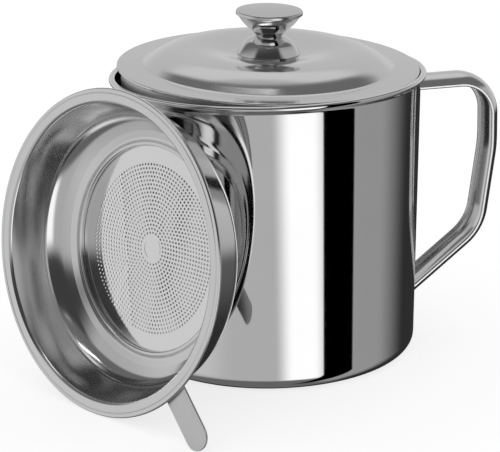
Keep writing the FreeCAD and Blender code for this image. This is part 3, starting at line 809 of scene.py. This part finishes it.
def steel(name, tone, roughness, spread, marks, depth, coordinates, placement, stretch=(1, 1, 1)):
    """Steel of one tone and roughness, with brush marks in the piece's own coordinates.

    The marks vary the roughness by the spread; marks is how fine they are and depth how deep.
    """
    material = bpy.data.materials.new(name)
    material.use_nodes = True
    tree = material.node_tree
    shader = tree.nodes["Principled BSDF"]
    shader.inputs["Metallic"].default_value = 1.0
    stretched = add(tree, "ShaderNodeMapping")
    stretched.inputs["Scale"].default_value = stretch
    link(tree, coordinates(tree, placement), stretched.inputs["Vector"])
    brush = noise(tree, marks, MARKS_DETAIL, stretched.outputs["Vector"])
    cloud = noise(tree, CLOUDS, CLOUDS_DETAIL, object_place(tree))

    wear = add(tree, "ShaderNodeMapRange")
    wear.inputs["To Min"].default_value = roughness - spread
    wear.inputs["To Max"].default_value = roughness + spread
    link(tree, brush, wear.inputs["Value"])
    link(tree, wear.outputs["Result"], shader.inputs["Roughness"])

    shade = add(tree, "ShaderNodeMix", data_type="RGBA")
    light = tone * LIGHT_SHARE
    shade.inputs["A"].default_value = (*[tone * DARK_SHARE] * 3, 1)
    shade.inputs["B"].default_value = (light, light, tone * LIGHT_BLUE_SHARE, 1)
    link(tree, cloud, shade.inputs["Factor"])
    link(tree, shade.outputs["Result"], shader.inputs["Base Color"])

    relief = add(tree, "ShaderNodeBump")
    relief.inputs["Strength"].default_value = MARKS_STRENGTH
    relief.inputs["Distance"].default_value = depth * MM
    link(tree, brush, relief.inputs["Height"])
    link(tree, relief.outputs["Normal"], shader.inputs["Normal"])
    return material


def draw_out_highlights(material, placement, share):
    """Stretch a spun piece's highlights across its turning marks."""
    tree = material.node_tree
    shader = tree.nodes["Principled BSDF"]
    shader.inputs["Anisotropic"].default_value = share
    link(tree, turning_direction(tree, placement), shader.inputs["Tangent"])


# %% The finishes
# Each finish: tone, roughness, its spread, how fine and how deep the marks are, and their
# coordinates, with a stretch where the marks run along the piece.
STANDING = Matrix.Identity(4)
DISH_STREAK = 0.6

mirror_wall = steel("mirror_wall", 0.80, 0.045, 0.02, 900, 0.0006, round_the_axis, STANDING, (0.3, 1, 1))
bright_strap = steel("bright_strap", 0.76, 0.12, 0.04, 700, 0.002, flat_on, STANDING, (1, 4, 1))
satin_lid = steel("satin_lid", 0.76, 0.13, 0.03, 1800, 0.0015, round_the_axis, LID_PLACE)
plain_collar = steel("plain_collar", 0.62, 0.3, 0.06, 1500, 0.004, round_the_axis, LID_PLACE)
bright_knob = steel("bright_knob", 0.72, 0.07, 0.03, 900, 0.001, round_the_axis, LID_PLACE)
satin_cap = steel("satin_cap", 0.68, 0.26, 0.05, 1800, 0.003, round_the_axis, LID_PLACE)
turned_screw = steel("turned_screw", 0.55, 0.3, 0.08, 2500, 0.004, round_the_axis, LID_PLACE)
brushed_dish = steel("brushed_dish", 0.76, 0.12, 0.03, 1600, 0.0005, round_the_axis, STRAINER_PLACE)
draw_out_highlights(brushed_dish, STRAINER_PLACE, DISH_STREAK)
bright_disc = steel("bright_disc", 0.86, 0.06, 0.02, 600, 0.0005, flat_on, STRAINER_PLACE)
satin_tab = steel("satin_tab", 0.66, 0.3, 0.05, 1500, 0.002, flat_on, STRAINER_PLACE, (0.1, 1, 1))

# %% [markdown]
# ## Putting it together
#
# Each piece takes its finish, rides on the body that it moves with and stands for the frame's piece
# of the same shape; the table also lists its material slot in the record. The insert, the screw and
# its washer are hidden small parts whose frame shapes are right, so they stay and only take a finish.

# %% Riding and replacing
PIECES = [
    (pot_shell, "pot", "pot_body", "pot_body", mirror_wall),
    (strap, "pot", "pot_handle", "pot_handle", bright_strap),
    (lid_shell, "lid_set", "lid", "lid", satin_lid),
    (lid_collar, "lid_set", "lid_ring", "lid_ring", plain_collar),
    (bell, "lid_set", "knob_bell", "knob", bright_knob),
    (cup, "lid_set", "knob_cup", "knob", bright_knob),
    (cap, "lid_set", "knob_cap", "knob_cap", satin_cap),
    (dish, "strainer", "strainer_bowl", "strainer_bowl", brushed_dish),
    (disc, "strainer", "filter_disc", "filter_disc", bright_disc),
    (tab, "strainer", "strainer_tab", "strainer_tab", satin_tab),
]
for piece, body, node, material_slot, finish in PIECES:
    piece.data.materials.clear()
    piece.data.materials.append(finish)
    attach(piece, body)
    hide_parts(node)
for node in ("knob_insert", "lid_screw", "screw_washer"):
    kept = frame["nodes"][node]
    kept.data.materials.clear()
    kept.data.materials.append(turned_screw)

# %% [markdown]
# ## The floor
#
# The floor is pale paper that glows a little to the camera, so that it stays white and still takes
# a soft shadow. Reflections don't see it.

# %% Floor
FLOOR_SIZE = 6
FLOOR_DROP = 0.02
PAPER_TONE = 0.3
PAPER_GLOW = 0.75

bpy.ops.object.select_all(action="DESELECT")
bpy.ops.mesh.primitive_plane_add(size=FLOOR_SIZE, location=(0, 0, 0))
floor = bpy.context.object
floor.name = "studio_floor"
floor.location.z = -FLOOR_DROP * MM
floor.visible_glossy = False
paper = bpy.data.materials.new("white_paper")
paper.use_nodes = True
tree = paper.node_tree
tree.nodes.clear()
matt = add(tree, "ShaderNodeBsdfDiffuse")
matt.inputs["Color"].default_value = (PAPER_TONE, PAPER_TONE, PAPER_TONE, 1)
glow = add(tree, "ShaderNodeEmission")
paths = add(tree, "ShaderNodeLightPath")
link(tree, maths(tree, "MULTIPLY", paths.outputs["Is Camera Ray"], PAPER_GLOW), glow.inputs["Strength"])
both = add(tree, "ShaderNodeAddShader")
link(tree, matt.outputs[0], both.inputs[0])
link(tree, glow.outputs[0], both.inputs[1])
link(tree, both.outputs[0], add(tree, "ShaderNodeOutputMaterial").inputs["Surface"])
floor.data.materials.append(paper)

# %% [markdown]
# ## The studio
#
# Polished steel has hardly any colour of its own: it shows what stands round it. So the studio is
# part of the finish. The world is white to the camera, plain to the floor, and to reflections it
# is a pale room with soft cards, a window and a lamp.
#
# No card is an object. The world's colour is worked out from the direction of each reflected ray:
# its bearing is the angle round the upright axis from the handle's side, and its height is the
# angle above the horizon, both in degrees. A card covers the directions within its limits.

# %% World: which way a reflection looks
HALF_TURN = 180

world = bpy.data.worlds.new("studio")
bpy.context.scene.world = world
world.use_nodes = True
tree = world.node_tree
tree.nodes.clear()
paths = add(tree, "ShaderNodeLightPath")
looking = add(tree, "ShaderNodeTexCoord").outputs["Generated"]
direction = add(tree, "ShaderNodeSeparateXYZ")
link(tree, looking, direction.inputs[0])
to_degrees = math.degrees(1)
way_round = maths(tree, "ARCTAN2", direction.outputs[1], direction.outputs[0])
bearing = maths(tree, "MULTIPLY", way_round, to_degrees)
height = maths(tree, "MULTIPLY", maths(tree, "ARCSINE", direction.outputs[2]), to_degrees)


# %% World: a card in the studio
def within(measure, middle, half, soft, whole_turn=False):
    """1 within half of the middle, falling smoothly to 0 as the measure goes soft beyond that."""
    away = maths(tree, "SUBTRACT", measure, middle)
    if whole_turn:
        wrapped = add(tree, "ShaderNodeMath", operation="WRAP")
        link(tree, away, wrapped.inputs[0])
        wrapped.inputs[1].default_value = HALF_TURN
        wrapped.inputs[2].default_value = -HALF_TURN
        away = wrapped.outputs[0]
    fade = add(tree, "ShaderNodeMapRange", interpolation_type="SMOOTHSTEP")
    link(tree, maths(tree, "ABSOLUTE", away), fade.inputs["Value"])
    for name, value in (("From Min", half), ("From Max", half + soft), ("To Min", 1), ("To Max", 0)):
        fade.inputs[name].default_value = value
    return fade.outputs["Result"]


def choose(share, where_none, where_full):
    """Blend from one level to another by a share between 0 and 1."""
    mixed = add(tree, "ShaderNodeMix", data_type="FLOAT")
    link(tree, share, mixed.inputs["Factor"])
    for socket, value in ((mixed.inputs["A"], where_none), (mixed.inputs["B"], where_full)):
        if isinstance(value, (int, float)):
            socket.default_value = value
        else:
            link(tree, value, socket)
    return mixed.outputs["Result"]


def hang_card(behind, level, one_way, other_way):
    """Hang a card of one grey level, where both masks are 1, in front of what is there already."""
    return choose(maths(tree, "MULTIPLY", one_way, other_way), behind, level)


# %% World: the cards
# Each card: grey level, then middle, half size and softness of its bearing and of its height.
ROOM_LEVEL = 0.5
CARDS = [
    ("far wall", 0.58, (85, 50, 40), (15, 25, 25)),
    ("bright horizon", 0.64, (80, 45, 30), (3, 5, 8)),
    ("high band", 0.7, (90, 50, 30), (52, 8, 10)),
    ("side wall", 0.68, (165, 30, 30), (-4, 15, 20)),
    ("dark sky", 0.05, (-105, 50, 20), (58, 40, 10)),
    ("key light", 2.2, (-96, 14, 6), (66, 5, 4)),
    ("dark table", 0.15, (75, 180, 1), (-90, 40, 12)),
    ("dark corner", 0.03, (45, 45, 25), (-35, 22, 8)),
    ("grey card", 0.34, (-22, 6, 44), (-25, 40, 10)),
    ("window", 1.25, (-80, 8, 16), (-17, 19, 9)),
    ("black flag", 0.0, (-50.2, 12.6, 1.2), (-20, 50, 15)),
]
studio = add(tree, "ShaderNodeValue").outputs[0]
studio.default_value = ROOM_LEVEL
for _, level, bearing_of, height_of in CARDS:
    studio = hang_card(studio, level, within(bearing, *bearing_of, True), within(height, *height_of))

# %% World: the dark ceiling and its strip lamp
# A mirror that shows the camera some direction faces halfway between the two. Both cards are
# measured on that mirror: how steep it is, and how far it faces the camera or the camera's left.
VIEW_FROM = math.radians(-104.478)
VIEW_HEIGHT = math.radians(16.857)
CEILING_LEVEL = 0.16
CEILING_FACING = (0.6, 0.22, 0.14)
CEILING_STEEPNESS = (42, 8, 6)
STRIP_LEVEL = 3.0
STRIP_LEFTWARD = (0.08, 0.12, 0.05)
STRIP_STEEPNESS = (38.4, 0.7, 0.8)

to_camera = Vector((math.cos(VIEW_FROM), math.sin(VIEW_FROM), 0))
to_left = Vector((math.sin(VIEW_FROM), -math.cos(VIEW_FROM), 0))
outwards = to_camera * math.cos(VIEW_HEIGHT) + Vector((0, 0, math.sin(VIEW_HEIGHT)))
mirror = vectors(tree, "NORMALIZE", vectors(tree, "ADD", looking, outwards))
upward = vectors(tree, "DOT_PRODUCT", mirror, (0, 0, 1))
steepness = maths(tree, "MULTIPLY", maths(tree, "ARCCOSINE", upward), to_degrees)
facing = within(vectors(tree, "DOT_PRODUCT", mirror, to_camera), *CEILING_FACING)
leftward = within(vectors(tree, "DOT_PRODUCT", mirror, to_left), *STRIP_LEFTWARD)
studio = hang_card(studio, CEILING_LEVEL, facing, within(steepness, *CEILING_STEEPNESS))
studio = hang_card(studio, STRIP_LEVEL, leftward, within(steepness, *STRIP_STEEPNESS))

# %% World: white to the camera, plain to the floor
PLAIN = 0.9

seen = maths(tree, "MAXIMUM", paths.outputs["Is Camera Ray"], paths.outputs["Is Transmission Ray"])
shown = choose(paths.outputs["Is Glossy Ray"], PLAIN, studio)
room = add(tree, "ShaderNodeBackground")
link(tree, choose(seen, shown, 1), room.inputs["Color"])
link(tree, room.outputs[0], add(tree, "ShaderNodeOutputWorld").inputs["Surface"])

# %% [markdown]
# ## The camera
#
# The camera stands at the front, a little to the handle's far side, and looks slightly down with a
# long lens. Its distances are in metres. The middle of its view is given as a height on the pot's
# axis and a shift to the camera's right, and its roll tips the picture a little.

# %% Camera
VIEW_ROLL = math.radians(-1.343)
VIEW_DISTANCE = 0.8582
VIEW_ASIDE = -0.009019
VIEW_MIDDLE = 0.054129
VIEW_LENS = 140.65
VIEW_SENSOR = 36

rightward = (-outwards).cross(Vector((0, 0, 1))).normalized()
above = outwards.cross(rightward)
picture_right = rightward * math.cos(VIEW_ROLL) + above * math.sin(VIEW_ROLL)
picture_up = above * math.cos(VIEW_ROLL) - rightward * math.sin(VIEW_ROLL)
turn = Matrix((picture_right, picture_up, outwards)).transposed().to_4x4()
stand = rightward * VIEW_ASIDE + Vector((0, 0, VIEW_MIDDLE)) + outwards * VIEW_DISTANCE
lens = bpy.data.cameras.new("camera")
lens.lens = VIEW_LENS
lens.sensor_width = VIEW_SENSOR
camera = bpy.data.objects.new("camera", lens)
camera.matrix_world = Matrix.Translation(stand) @ turn
bpy.context.scene.collection.objects.link(camera)
bpy.context.scene.camera = camera
bpy.context.scene.view_settings.view_transform = "Standard"
